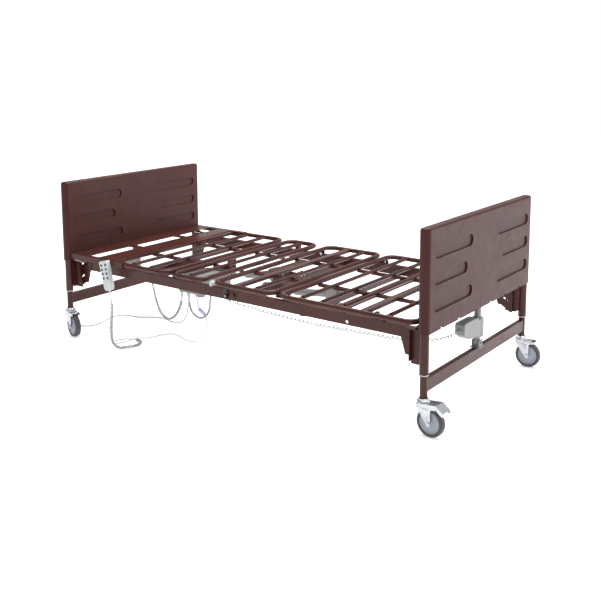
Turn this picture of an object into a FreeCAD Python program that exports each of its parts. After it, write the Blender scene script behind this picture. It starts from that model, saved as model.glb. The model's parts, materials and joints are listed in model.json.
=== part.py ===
"""Adjustable homecare bed: two end panels on telescopic castered legs, and a
four-section slatted deck on a two-rail frame, driven by electric actuators.

X runs from the head end to the foot end, Z is up, and the origin is on the floor
at the middle of the bed's outer box.
"""
import FreeCAD, Part
import math
import os

from FreeCAD import Vector

# ---------------------------------------------------------------- driving dimensions (mm)
POST_X = 1135.0            # leg axis from the middle of the frame, along the bed
POST_Y = 515.0             # leg axis from the middle, across the bed
CENTRE_X = 44.4            # middle of the outer box, because all casters trail footward

WHEEL_R = 63.5             # 5 inch caster
WHEEL_W = 32.0
CASTER_TRAIL = 38.0
HEADINGS = {"foot_right": -3.8, "foot_left": 3.8, "head_right": -15.0, "head_left": 15.0}
CASTER_TOP = 162.0
LEG_R = 16.5
SLEEVE_R = 20.0
SLEEVE_BOTTOM = 262.0
CROSS_BAR_Z = (187.0, 243.0)
CROSS_BAR_T = 25.0

PANEL_T = 50.0
PANEL_Y = 540.0
PANEL_Z = (437.0, 882.0)
PANEL_WALL = 3.0
GROOVE_DEPTH = 7.0
GROOVE_H = 52.0
GROOVE_ROWS = ((773.0, 128.0), (661.0, 180.0), (546.0, 128.0))   # height, inner end
GROOVE_OUT = 486.0

RAIL_Y = (445.0, 470.0)
RAIL_Z = (386.0, 436.0)
RAIL_END = 1060.0
RAIL_SPLIT = -60.0
RAIL_WALL = 2.0
LATCH_X = 7.0

DECK_Y = 515.0             # outer edge of the deck loops
LOOP_R = 12.5
LOOP_Z = 467.5
LOOP_BEND = 50.0
SLAT_R = 9.5
SLAT_Z = 469.0
BAR_W, BAR_H, BAR_Z = 34.0, 16.0, 468.0
STIFF_Y, STIFF_W, STIFF_Z = 178.0, 22.0, (445.0, 459.0)

BACK_END = -388.0          # foot-end tube of the back section
SEAT = (-333.0, -133.0)    # end tubes of each closed loop
THIGH = (-47.0, 305.0)
CALF = (362.0, 1078.0)
BACK_PLATE = (-1105.0, -688.0)

PIVOT_Z = 444.0
BACK_PIVOT_X = -385.0
THIGH_PIVOT_X = THIGH[0]
CALF_PIVOT_X = 333.0
PIN_R = 5.0
PIN_FIT = 0.05

BACK_ACT_Y, KNEE_ACT_Y = 70.0, -50.0
BACK_REAR, BACK_TIP = (-40.0, 400.0), (-425.0, 330.0)
KNEE_REAR, KNEE_TIP = (420.0, 385.0), (-7.0, 333.0)
EYE_R, EYE_BORE = 21.0, 14.5

HILO_TUBE_R = 16.0
HILO_ROD_R = 10.0
MOTOR_GREY_Y = (-190.0, -45.0)

CORD_D = 6.0
CURL_D = 15.0
THIN_D = 5.0

os.makedirs("parts", exist_ok=True)


# ---------------------------------------------------------------- building blocks
def box(x0, x1, y0, y1, z0, z1):
    low = Vector(min(x0, x1), min(y0, y1), min(z0, z1))
    return Part.makeBox(abs(x1 - x0), abs(y1 - y0), abs(z1 - z0), low)


def rod(x, y, z, axis, r, length):
    """Cylinder that starts at (x, y, z) and runs along the axis letter."""
    way = {"x": Vector(1, 0, 0), "y": Vector(0, 1, 0), "z": Vector(0, 0, 1)}[axis]
    return Part.makeCylinder(r, length, Vector(x, y, z), way)


def strut(a, b, r):
    a, b = Vector(*a), Vector(*b)
    return Part.makeCylinder(r, (b - a).Length, a, b - a)


def plate_xz(points, y0, y1):
    """Flat plate with its outline in the XZ plane, between two values of y."""
    wire = Part.makePolygon([Vector(x, y0, z) for x, z in points + points[:1]])
    return Part.Face(wire).extrude(Vector(0, y1 - y0, 0))


def fuse(shapes):
    whole = shapes[0]
    for shape in shapes[1:]:
        whole = whole.fuse(shape)
    return whole.removeSplitter()


def mirror_y(shape):
    return shape.mirror(Vector(0, 0, 0), Vector(0, 1, 0))


def mirror_x(shape):
    return shape.mirror(Vector(0, 0, 0), Vector(1, 0, 0))


def both_sides(shape):
    return [shape, mirror_y(shape)]


def solids_of(shapes):
    out = []
    for shape in shapes:
        out.extend(shape.Solids)
    return out


def save(name, shapes):
    """Write one node, moved so that the middle of the outer box is at x = 0."""
    parts = solids_of(shapes)
    whole = parts[0].copy() if len(parts) == 1 else Part.makeCompound(parts)
    whole.translate(Vector(-CENTRE_X, 0, 0))
    whole.exportStep("parts/%s.step" % name)
    if not whole.isValid():
        print("invalid", name)


def corner_bend(cx, cy, quarter, r):
    """Quarter ring of tube round a loop's corner, in the plane z = LOOP_Z."""
    ring = Part.makeTorus(LOOP_BEND, r, Vector(cx, cy, LOOP_Z), Vector(0, 0, 1), 0, 360, 90)
    ring.rotate(Vector(cx, cy, LOOP_Z), Vector(0, 0, 1), quarter * 90.0)
    return ring


def loop_path(x0, x1, r, open_head):
    """Rounded rectangle of tube between two end tubes, or a U that opens headward."""
    y = DECK_Y - LOOP_R
    bend = LOOP_BEND
    head = x0 if open_head else x0 + bend
    parts = [rod(x1, -y + bend, LOOP_Z, "y", r, 2 * (y - bend))]
    for side in (-1, 1):
        parts.append(rod(head, side * y, LOOP_Z, "x", r, x1 - bend - head))
    parts.append(corner_bend(x1 - bend, y - bend, 0, r))
    parts.append(corner_bend(x1 - bend, -y + bend, 3, r))
    if not open_head:
        parts.append(rod(x0, -y + bend, LOOP_Z, "y", r, 2 * (y - bend)))
        parts.append(corner_bend(x0 + bend, y - bend, 1, r))
        parts.append(corner_bend(x0 + bend, -y + bend, 2, r))
    return fuse(parts)


def loop_tube(x0, x1, open_head=False):
    outer = loop_path(x0, x1, LOOP_R, open_head)
    inner = loop_path(x0, x1, LOOP_R - 1.5, open_head)
    tube = outer.cut(inner)
    if open_head:
        return tube
    vent = rod((x0 + x1) / 2, DECK_Y - LOOP_R, LOOP_Z - LOOP_R - 1, "z", 2.5, 6)
    return tube.cut(vent).cut(mirror_y(vent))


def slat(x, outer):
    """Round cross tube with crimped flat ends, trimmed to sit against the loop."""
    y = DECK_Y - LOOP_R
    flat = 40.0
    body = rod(x, -y + flat, SLAT_Z, "y", SLAT_R, 2 * (y - flat))
    ends = [box(x - 12, x + 12, s * (y - flat - 8), s * y, SLAT_Z - 3, SLAT_Z + 3) for s in (-1, 1)]
    solid = fuse([body] + ends)
    bore = rod(x, -y, SLAT_Z, "y", 1.0, 2 * y)
    wide = rod(x, -y + flat + 10, SLAT_Z, "y", SLAT_R - 1.5, 2 * (y - flat - 10))
    return solid.cut(bore.fuse(wide)).cut(outer)


def flat_bar(x, outer, y=DECK_Y - LOOP_R):
    z0, z1 = BAR_Z - BAR_H / 2, BAR_Z + BAR_H / 2
    solid = box(x - BAR_W / 2, x + BAR_W / 2, -y, y, z0, z1)
    bore = box(x - BAR_W / 2 + 2, x + BAR_W / 2 - 2, -y, y, z0 + 2, z1 - 2)
    return solid.cut(bore).cut(outer)


def stiffener(x0, x1, y, outer):
    solid = box(x0, x1, y - STIFF_W / 2, y + STIFF_W / 2, *STIFF_Z)
    bore = box(x0, x1, y - STIFF_W / 2 + 2, y + STIFF_W / 2 - 2, STIFF_Z[0] + 2, STIFF_Z[1] - 2)
    return solid.cut(bore).cut(outer)


def lug(tube_x, pivot_x, y0, outer, bore):
    """Hinge plate under an end tube, with a hole for the pivot pin."""
    low, high = min(tube_x, pivot_x) - 12, max(tube_x, pivot_x) + 12
    plate = box(low, high, y0, y0 + 5, PIVOT_Z - 9, LOOP_Z - 4)
    hole = rod(pivot_x, y0 - 1, PIVOT_Z, "y", bore, 7)
    return plate.cut(hole).cut(outer)


def bent_tube(points, d, name):
    """Tube of straight runs joined by tangent arcs. Each arc takes 0.45 of its shorter run."""
    pts = [Vector(*p) for p in points]
    edges = []
    radii = []
    start = pts[0]
    for before, here, after in zip(pts, pts[1:], pts[2:]):
        u = (before - here).normalize()
        v = (after - here).normalize()
        run = min((before - here).Length, (after - here).Length)
        half = (math.pi - u.getAngle(v)) / 2
        cut = 0.45 * run
        radius = cut / math.tan(half)
        radii.append(radius / d)
        a, b = here + u * cut, here + v * cut
        middle = here + (u + v).normalize() * (radius / math.cos(half) - radius)
        edges.append(Part.LineSegment(start, a).toShape())
        edges.append(Part.Arc(a, middle, b).toShape())
        start = b
    edges.append(Part.LineSegment(start, pts[-1]).toShape())
    path = Part.Wire(edges)
    section = Part.Wire(Part.Circle(pts[0], pts[1] - pts[0], d / 2).toShape())
    tube = path.makePipeShell([section], True, False)
    ideal = math.pi * d * d / 4 * path.Length
    print("%-20s length %6.0f  volume ratio %.4f  tightest %.1f d" % (
        name, path.Length, tube.Volume / ideal, min(radii)))
    return tube


# ---------------------------------------------------------------- end panels and legs
def groove(face_x, inward, z, y0, y1, grow, depth):
    """Long recess with round ends in a panel face, as a cutting solid."""
    r = GROOVE_H / 2 + grow
    a, b = min(y0, y1) + GROOVE_H / 2, max(y0, y1) - GROOVE_H / 2
    length = inward * depth
    bar = box(face_x, face_x + length, a, b, z - r, z + r)
    ends = []
    for y in (a, b):
        base = min(face_x, face_x + length)
        ends.append(rod(base, y, z, "x", r, abs(length)))
    return fuse([bar] + ends)


def grooves(face_x, inward, grow, depth):
    out = []
    for z, inner in GROOVE_ROWS:
        out.append(groove(face_x, inward, z, inner, GROOVE_OUT, grow, depth))
        out.append(groove(face_x, inward, z, -GROOVE_OUT, -inner, grow, depth))
    return out


def foot_panel():
    """Hollow moulded panel, open below, with three pairs of grooves on each face."""
    x0, x1 = POST_X - PANEL_T / 2, POST_X + PANEL_T / 2
    outer = box(x0, x1, -PANEL_Y, PANEL_Y, *PANEL_Z)
    upright = [e for e in outer.Edges if abs(e.tangentAt(e.FirstParameter).z) > 0.9]
    outer = outer.makeFillet(PANEL_T / 2 - 1, upright)
    top = [f for f in outer.Faces if f.CenterOfMass.z > PANEL_Z[1] - 0.1][0]
    outer = outer.makeFillet(12, top.Edges)
    w = PANEL_WALL
    inner = box(x0 + w, x1 - w, -PANEL_Y + w, PANEL_Y - w, PANEL_Z[0] - 1, PANEL_Z[1] - 14)
    upright = [e for e in inner.Edges if abs(e.tangentAt(e.FirstParameter).z) > 0.9]
    inner = inner.makeFillet(PANEL_T / 2 - w - 1, upright)
    for face_x, inward in ((x0, 1), (x1, -1)):
        for cut in grooves(face_x, inward, w, GROOVE_DEPTH + w):
            inner = inner.cut(cut)
    shell = outer.cut(inner)
    for face_x, inward in ((x0, 1), (x1, -1)):
        for cut in grooves(face_x, inward, 0, GROOVE_DEPTH):
            shell = shell.cut(cut)
    for i in range(6):
        y = -410 + 162 * i
        shell = shell.cut(box(x1 - w - 1, x1 + 1, y - 9, y + 9, PANEL_Z[0] - 1, PANEL_Z[0] + 7))
    return shell


def sleeve(x, y):
    """Fixed upper leg tube, inside the panel and 175 mm below it."""
    outer = rod(x, y, SLEEVE_BOTTOM, "z", SLEEVE_R, 590)
    return outer.cut(rod(x, y, SLEEVE_BOTTOM, "z", SLEEVE_R - 2.5, 590))


def sleeve_bush(x, y):
    ring = rod(x, y, SLEEVE_BOTTOM - 4, "z", SLEEVE_R + 0.5, 4)
    return ring.cut(rod(x, y, SLEEVE_BOTTOM - 4, "z", LEG_R + 0.1, 4))


def posts(make):
    return [make(x, y) for x in (-POST_X, POST_X) for y in (-POST_Y, POST_Y)]


def leg_set(x):
    """Two lower leg tubes and the bar that joins them."""
    bottom = CASTER_TOP
    legs = []
    for y in (-POST_Y, POST_Y):
        tube = rod(x, y, bottom, "z", LEG_R, 700 - bottom)
        legs.append(tube.cut(rod(x, y, bottom, "z", LEG_R - 2, 700 - bottom)))
    z0, z1 = CROSS_BAR_Z
    half = CROSS_BAR_T / 2
    bar = box(x - half, x + half, -POST_Y, POST_Y, z0, z1)
    bar = bar.cut(box(x - half + 2, x + half - 2, -POST_Y, POST_Y, z0 + 2, z1 - 2))
    for y in (-POST_Y, POST_Y):
        bar = bar.cut(rod(x, y, bottom, "z", LEG_R, 700))
    return legs, bar.Solids[0] if len(bar.Solids) == 1 else max(bar.Solids, key=lambda s: s.Volume)


def hilo_motor(x):
    """Upright height actuator: clevis foot, gearbox, motor housing and outer tube."""
    foot_z = CROSS_BAR_Z[1]
    foot = [box(x - 24, x + 24, -35, 15, foot_z, foot_z + 3)]
    for s in (-1, 1):
        side = 17 * s
        foot.append(box(x + side - 2, x + side + 2, -27, 7, foot_z + 3, foot_z + 36))
    foot = fuse(foot)
    pin = rod(x - 23, -10, foot_z + 22, "x", 6, 46)
    foot = foot.cut(pin)
    eye = rod(x - 14, -10, foot_z + 22, "x", 13, 28)
    eye = fuse([eye, rod(x, -10, foot_z + 28, "z", 14, 40)]).cut(pin)
    gear = fuse([rod(x, -10, foot_z + 52, "z", 24, 90), box(x - 22, x + 22, -48, 12, foot_z + 52, foot_z + 135)])
    gear = gear.cut(eye)
    y0, y1 = MOTOR_GREY_Y
    profile = [(y1, 392), (y1 - 40, 396), (y0 + 6, 396), (y0, 388), (y0, 345), (y0 + 45, 318), (y1, 306)]
    wire = Part.makePolygon([Vector(x - 24, y, z) for y, z in profile + profile[:1]])
    motor = Part.Face(wire).extrude(Vector(48, 0, 0)).cut(gear)
    tube = rod(x, -10, foot_z + 142, "z", HILO_TUBE_R, 250)
    tube = tube.cut(rod(x, -10, foot_z + 150, "z", HILO_ROD_R + 0.5, 250))
    return foot, pin, eye, gear, motor, tube


def hilo_rod(x):
    """Inner rod of the height actuator, hung from a bracket inside the panel."""
    low = CROSS_BAR_Z[1] + 160
    shaft = rod(x, -10, low, "z", HILO_ROD_R, 800 - low)
    hanger = fuse([box(x - 21.9, x + 21.9, -40, 20, 800, 806), box(x - 21.9, x + 21.9, -40, 20, 806, 840)])
    return fuse([shaft, hanger.cut(box(x - 15, x + 15, -34, 14, 806, 834))])


# ---------------------------------------------------------------- casters
def caster_fork(x, y):
    """Stem, swivel head, and a fork whose legs trail to the axle."""
    ax = x + CASTER_TRAIL
    head = rod(x, y, 140, "z", 27, 12)
    cap = rod(x, y, 152, "z", 21, 9.5)
    stem = rod(x, y, 161, "z", LEG_R - 2.1, 40)
    crown = box(x - 20, x + 27, y - 24, y + 24, 133, 140)
    legs = []
    for s in (-1, 1):
        outline = [(x - 20, 140), (x + 27, 140), (ax + 13, WHEEL_R - 8), (ax, WHEEL_R - 14), (ax - 14, WHEEL_R - 6)]
        legs.append(plate_xz(outline, y + s * 21, y + s * 24))
    axle = rod(ax, y - 28, WHEEL_R, "y", 5, 56)
    pins = rod(x + 6, y - 31, 136.5, "y", 3, 62)
    return fuse([head, cap, stem, crown] + legs + [axle, pins])


def caster_wheel(x, y):
    """Hub and tyre of one wheel, as two touching solids."""
    ax = x + CASTER_TRAIL
    hub = rod(ax, y - 14, WHEEL_R, "y", 46, 28)
    hub = fuse([hub, rod(ax, y - 19, WHEEL_R, "y", 16, 38)])
    hub = hub.cut(rod(ax, y - 20, WHEEL_R, "y", 5.06, 40))
    for s in (-1, 1):
        dish = rod(ax, y + (14 if s > 0 else -14) - 4, WHEEL_R, "y", 40, 8)
        dish = dish.cut(rod(ax, y + (14 if s > 0 else -14) - 4, WHEEL_R, "y", 20, 8))
        hub = hub.cut(dish)
    tyre = rod(ax, y - WHEEL_W / 2, WHEEL_R, "y", WHEEL_R, WHEEL_W)
    edges = [e for e in tyre.Edges if abs(e.Length - 2 * math.pi * WHEEL_R) < 1]
    tyre = tyre.makeFillet(8, edges).cut(rod(ax, y - 20, WHEEL_R, "y", 46, 40))
    return [hub, tyre]


def brake_pedal(x, y):
    """Total-lock pedal: two arms hinged on the fork's head and a sloping tread."""
    ax = x + CASTER_TRAIL
    outline = [(x - 2, 133), (x, 143), (ax + 38, 152), (ax + 74, 126), (ax + 76, 112), (ax + 66, 112),
               (ax + 40, 134), (x + 12, 130)]
    parts = [plate_xz(outline, y + s * 27.3, y + s * 30.3) for s in (-1, 1)]
    tread = [(ax + 38, 152), (ax + 74, 126), (ax + 72, 122), (ax + 36, 148)]
    parts.append(plate_xz(tread, y - 30, y + 30))
    return fuse(parts).cut(rod(x + 6, y - 32, 136.5, "y", 3.06, 64))


def swivelled(shape, x, y, corner):
    """The shape turned about its leg axis to the caster's heading."""
    shape.rotate(Vector(x, y, 0), Vector(0, 0, 1), HEADINGS[corner])
    return shape


# ---------------------------------------------------------------- deck frame
def rail(x0, x1):
    bar = box(x0, x1, -RAIL_Y[1], -RAIL_Y[0], *RAIL_Z)
    w = RAIL_WALL
    return bar.cut(box(x0, x1, -RAIL_Y[1] + w, -RAIL_Y[0] - w, RAIL_Z[0] + w, RAIL_Z[1] - w))


def splice():
    w = RAIL_WALL + 0.2
    core = box(-160, 40, -RAIL_Y[1] + w, -RAIL_Y[0] - w, RAIL_Z[0] + w, RAIL_Z[1] - w)
    return core.cut(box(-160, 40, -RAIL_Y[1] + w + 2, -RAIL_Y[0] - w - 2, RAIL_Z[0] + w + 2, RAIL_Z[1] - w - 2))


def cross_tube(x0, x1, z0, z1):
    y = RAIL_Y[0]
    bar = box(x0, x1, -y, y, z0, z1)
    return bar.cut(box(x0 + 2, x1 - 2, -y, y, z0 + 2, z1 - 2))


def yoke(x, z, y, tube_x):
    """Two plates that hold an actuator's rear pin and reach forward to a cross tube."""
    parts = []
    for side in (-1, 1):
        y0 = y + side * 15 - 2
        plate = box(x, tube_x, y0, y0 + 4, z - 12, z + 11).fuse(rod(x, y0, z, "y", 14, 4))
        parts.append(plate.removeSplitter().cut(rod(x, y - 30, z, "y", PIN_R, 60)))
    return parts


def corner_plate():
    """Deck-side plate at the foot end, near side, with two hook slots."""
    outline = [(985, 436), (999, 386), (1021, 316), (1041, 313), (1086, 283), (1100, 283), (1100, 391), (1076, 412),
               (1045, 436)]
    plate = plate_xz(outline, -474, -470)
    for z in (412, 341):
        ring = rod(1044, -475, z - 22, "y", 39, 6).cut(rod(1044, -475, z - 22, "y", 30, 6))
        slot = ring.common(box(1052, 1090, -475, -469, z - 10, z + 30))
        plate = plate.cut(slot)
    return plate


def leg_channel():
    """Upright channel on the leg sleeve at the foot end, near side."""
    x0, x1 = 1057.0, 1112.0
    web = box(x0, x1, -486, -483, 285, 437)
    flanges = [box(x0, x0 + 3, -508, -483, 300, 437), box(x1 - 3, x1, -508, -483, 285, 437)]
    gusset = box(x1, POST_X - 6, -500, -486, 292, 430)
    post = rod(POST_X, -POST_Y, 200, "z", SLEEVE_R, 400)
    return fuse([web] + flanges + [gusset.cut(post)])


def hook_strip():
    """Zinc hook plate over the top of a leg channel."""
    top = [(1040, 437.1), (1106, 437.1), (1106, 440), (1092, 441), (1082, 446), (1072, 441),
           (1034, 440), (1030, 432), (1034, 431)]
    return plate_xz(top, -506, -475)


def four_corners(shape):
    return [shape, mirror_y(shape), mirror_x(shape), mirror_x(mirror_y(shape))]


def pivot_bracket(x):
    """Ear on the rail's inner face that carries a hinge pin."""
    web = box(x - 20, x + 20, -RAIL_Y[0], -426, 400, 428)
    ear = fuse([box(x - 10, x + 10, -431, -425, 400, PIVOT_Z), rod(x, -431, PIVOT_Z, "y", 10, 6)])
    return fuse([web, ear]).cut(rod(x, -432, PIVOT_Z, "y", PIN_R, 8))


def hinge_pin(x):
    """Pin from y = -440 to -420, with a head on its inner end."""
    return fuse([rod(x, -440, PIVOT_Z, "y", PIN_R, 20), rod(x, -420, PIVOT_Z, "y", 8, 4)])


def rail_bolt(x, z, r):
    head = rod(x, -476, z, "y", r, 6)
    return head.makeFillet(1.5, [e for e in head.Edges if e.CenterOfMass.y < -475 and e.Length > 10][:1])


# ---------------------------------------------------------------- actuators
def place_on_axis(shape, origin, tip, y):
    """Turn a shape built along +X so that it points from the rear pin to the tip."""
    dx, dz = tip[0] - origin[0], tip[1] - origin[1]
    out = shape.copy()
    out.rotate(Vector(0, 0, 0), Vector(0, 1, 0), -math.degrees(math.atan2(dz, dx)))
    out.translate(Vector(origin[0], y, origin[1]))
    return out


def deck_motor(origin, tip, y, tube_end):
    """Rear eye, gear housing, motor and outer tube of a deck actuator."""
    eye = fuse([rod(0, -12, 0, "y", 14, 24), box(0, 26, -12, 12, -12, 12)])
    gear = box(20, 95, -30, 30, -34, 34)
    gear = gear.makeFillet(6, [e for e in gear.Edges])
    motor = rod(30, 0, -74, "x", 30, 128)
    neck = box(45, 90, -22, 22, -60, -20)
    body = fuse([eye, gear, neck, motor])
    tube = rod(90, 0, 0, "x", 19, tube_end - 90)
    whole = fuse([body, tube])
    whole = whole.cut(rod(100, 0, 0, "x", HILO_ROD_R + 0.4, tube_end))
    whole = whole.cut(rod(0, -13, 0, "y", PIN_R + PIN_FIT, 26))
    whole.rotate(Vector(0, 0, 0), Vector(1, 0, 0), 180)
    return place_on_axis(whole, origin, tip, y)


def deck_rod(origin, tip, y, start):
    """Sliding rod with a wide ring at its end."""
    length = math.hypot(tip[0] - origin[0], tip[1] - origin[1])
    shaft = rod(start, 0, 0, "x", HILO_ROD_R, length - EYE_BORE - start)
    ring = rod(length, -10, 0, "y", EYE_R, 20)
    whole = fuse([shaft, ring]).cut(rod(length, -11, 0, "y", EYE_BORE, 22))
    return place_on_axis(whole, origin, tip, y)


def lever(x, z, tip, y, outer_x):
    """Pair of arms from a section's cross bar down to the actuator's pin."""
    plates = []
    for s in (-1, 1):
        y0 = y + s * 17 - 3
        outline = [(outer_x - 18, z), (outer_x + 18, z), (tip[0] + 12, tip[1]), (tip[0], tip[1] - 12),
                   (tip[0] - 12, tip[1])]
        plates.append(plate_xz(outline, y0, y0 + 6))
    pin = rod(tip[0], y - 22, tip[1], "y", PIN_R, 44)
    bar = box(x - 18, x + 18, -STIFF_Y + STIFF_W / 2, STIFF_Y - STIFF_W / 2, *STIFF_Z)
    return fuse(plates + [pin, bar])


# ---------------------------------------------------------------- back section sheet frame
def back_plate():
    """Pressed head part of the back section: a shallow tray with windows."""
    x0, x1 = BACK_PLATE
    top = 479.0
    tray = box(x0, x1, -520, 520, 451, top)
    tray = tray.cut(box(x0 + 3, x1, -517, 517, 450, top - 3))
    tray = tray.cut(box(-802, x1 + 1, -490, 490, 440, top + 1))
    for y0, y1 in ((-490, -202), (-157, 157), (202, 490)):
        tray = tray.cut(box(-985, -905, y0, y1, 440, top + 1))
    for s in (-1, 1):
        tray = tray.fuse(box(-802, x1, s * 487, s * 490, 451, top))
        tray = tray.fuse(box(x1 - 3, x1, s * 487, s * 520, 451, top))
    tray = tray.fuse(box(-805, -802, -490, 490, 451, top))
    return tray.removeSplitter()


# ---------------------------------------------------------------- handset and boxes
PENDANT_Y = (-545.0, -521.0)


def pendant_frame():
    """Unit vectors down and across the handset's leaning face."""
    down = Vector(37, 0, -150).normalize()
    across = Vector(-down.z, 0, down.x).normalize()
    return Vector(-813.5, 0, 478), down, across


def pendant_point(s, t):
    top, down, across = pendant_frame()
    return top + down * s + across * t


def pendant():
    """Handset shell with a hook that hangs on the deck's edge."""
    half = 31.0
    pts = [pendant_point(0, -half), pendant_point(0, half), pendant_point(148, half - 2),
           pendant_point(162, half - 14), pendant_point(162, -half + 14), pendant_point(148, -half + 2)]
    pts = [Vector(p.x, PENDANT_Y[0], p.z) for p in pts]
    shell = Part.Face(Part.makePolygon(pts + pts[:1])).extrude(Vector(0, PENDANT_Y[1] - PENDANT_Y[0], 0))
    shell = shell.makeFillet(5, [e for e in shell.Edges if abs(e.tangentAt(e.FirstParameter).y) > 0.9])
    for row in range(4):
        for side in (-1, 1):
            c = pendant_point(21 + 24 * row, 16 * side)
            shell = shell.cut(rod(c.x, PENDANT_Y[0] - 1, c.z, "y", 7.2, 3.5))
    arm = box(-816, -796, PENDANT_Y[1], -442, 437, 440)
    hook = arm.fuse(box(-816, -796, -444.8, -442, 418, 440)).removeSplitter()
    return [shell, hook]


def pendant_button(row, side):
    c = pendant_point(21 + 24 * row, 16 * side)
    return rod(c.x, PENDANT_Y[0] - 1.5, c.z, "y", 7.0, 3.0)


def control_box():
    """Control unit hung from the seat's stiffener, with a round foot below."""
    case = box(-395, -225, -395, -165, 345, 430)
    case = case.makeFillet(8, [e for e in case.Edges if e.CenterOfMass.z < 420])
    hanger = box(-330, -240, -188, -168, 430, STIFF_Z[0])
    knob = fuse([rod(-303, -320, 324, "z", 26, 21), rod(-303, -320, 316, "z", 20, 8)])
    return [case.fuse(hanger).removeSplitter(), knob]


# ---------------------------------------------------------------- cords (x before the shift)
PENDANT_CURL = ((-774.7, -533, 320.7), (-765.6, -533, 283.8), (-764, -533, 238), (-766, -533, 190),
                (-771, -534, 142), (-774, -535, 94), (-769, -537, 52), (-746, -540, 18), (-706, -530, 9),
                (-684, -490, 9), (-668, -446, 9), (-682, -402, 9), (-722, -377, 9), (-768, -385, 9))
PENDANT_LEAD = ((-768, -385, 9), (-812, -398, 5), (-838, -434, 4), (-828, -478, 4), (-788, -492, 6),
                (-750, -470, 16), (-726, -430, 26), (-716, -384, 26), (-716, -328, 8), (-714, -270, 4),
                (-700, -215, 4), (-664, -172, 4), (-606, -180, 4), (-550, -206, 4), (-498, -216, 4),
                (-444, -226, 12), (-388, -262, 44), (-330, -300, 76), (-278, -328, 110), (-238, -352, 144),
                (-222, -362, 182), (-238, -352, 212), (-257, -340, 228))
UPPER_LEAD = ((-298, -340, 252), (-306, -342, 276), (-311, -343, 300), (-314, -342, 324), (-316, -340, 345))
COIL_AT = (-1229.0, -421.0)
CONNECTOR = ((-257, -340, 228), (-298, -340, 252))
MAINS_CORD = ((-680, -40, 370), (-718, -36, 368), (-752, -14, 356), (-778, 24, 334), (-792, 66, 298),
              (-797, 94, 250), (-798, 104, 196), (-794, 102, 140), (-797, 92, 84), (-787, 68, 34),
              (-774, 28, 6), (-798, -10, 4), (-850, -14, 4), (-906, 8, 4), (-962, 6, 4), (-1014, -35, 4),
              (-1070, -68, 4), (-1130, -76, 4), (-1182, -96, 4), (-1204, -145, 4), (-1188, -200, 4),
              (-1164, -256, 4), (-1152, -314, 4), (-1164, -352, 4), (-1190, -376, 4), (-1224, -385, 4))
LOOP_SMALL = ((-380, -385, 345), (-381, -385, 312), (-387, -385, 278), (-406, -385, 236), (-438, -385, 196),
              (-483, -385, 172), (-530, -384, 188), (-560, -382, 228), (-584, -378, 274), (-602, -373, 320),
              (-624, -364, 360), (-668, -352, 379), (-725, -340, 380), (-785, -330, 377), (-845, -322, 375),
              (-910, -320, 373), (-980, -322, 371), (-1040, -328, 369), (-1084, -331, 367), (-1122, -318, 365),
              (-1135, -280, 364), (-1137, -236, 365), (-1135, -190.4, 364))
LOOP_LARGE = ((-330, -385, 345), (-329, -385, 312), (-324, -385, 276), (-306, -385, 240), (-258, -385, 219),
              (-212, -385, 236), (-184, -385, 276), (-181, -384, 326), (-181, -370, 368), (-172, -325, 388),
              (-160, -270, 382), (-149, -210, 366), (-138, -148, 350), (-128, -82, 328), (-120, -20, 312),
              (-119, 39.4, 311))
FOOT_CORD = ((-225, -325, 412), (-186, -325, 411), (-134, -350, 405), (-84, -398, 394), (-32, -434, 376),
             (40, -440, 368), (150, -440, 360), (290, -440, 352), (440, -440, 347), (600, -440, 349),
             (770, -440, 356),
             (900, -440, 360), (1000, -439, 366), (1064, -424, 371), (1112, -378, 368), (1134, -312, 364),
             (1137, -252, 364.5), (1135, -190.4, 364))


def coil():
    """Put-away length of the mains cord: one ring of its outer shape."""
    x, y = COIL_AT
    return rod(x, y, 0, "z", 38.2, 18.5).cut(rod(x, y, -1, "z", 25.8, 21))


def mains_plug():
    """Two-pin plug lying beside the coil."""
    x, y = COIL_AT[0] - 48, COIL_AT[1] + 46
    body = box(x - 20, x + 20, y - 15, y + 15, 0, 26)
    body = body.makeFillet(6, [e for e in body.Edges if abs(e.tangentAt(e.FirstParameter).x) > 0.9])
    blades = [box(x - 38, x - 20, y + s - 0.8, y + s + 0.8, 9, 16) for s in (-6, 6)]
    return fuse([body] + blades)


def connector():
    """Clear in-line plug where the handset's lead joins the control box's lead."""
    return strut(*CONNECTOR, 9)


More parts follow.
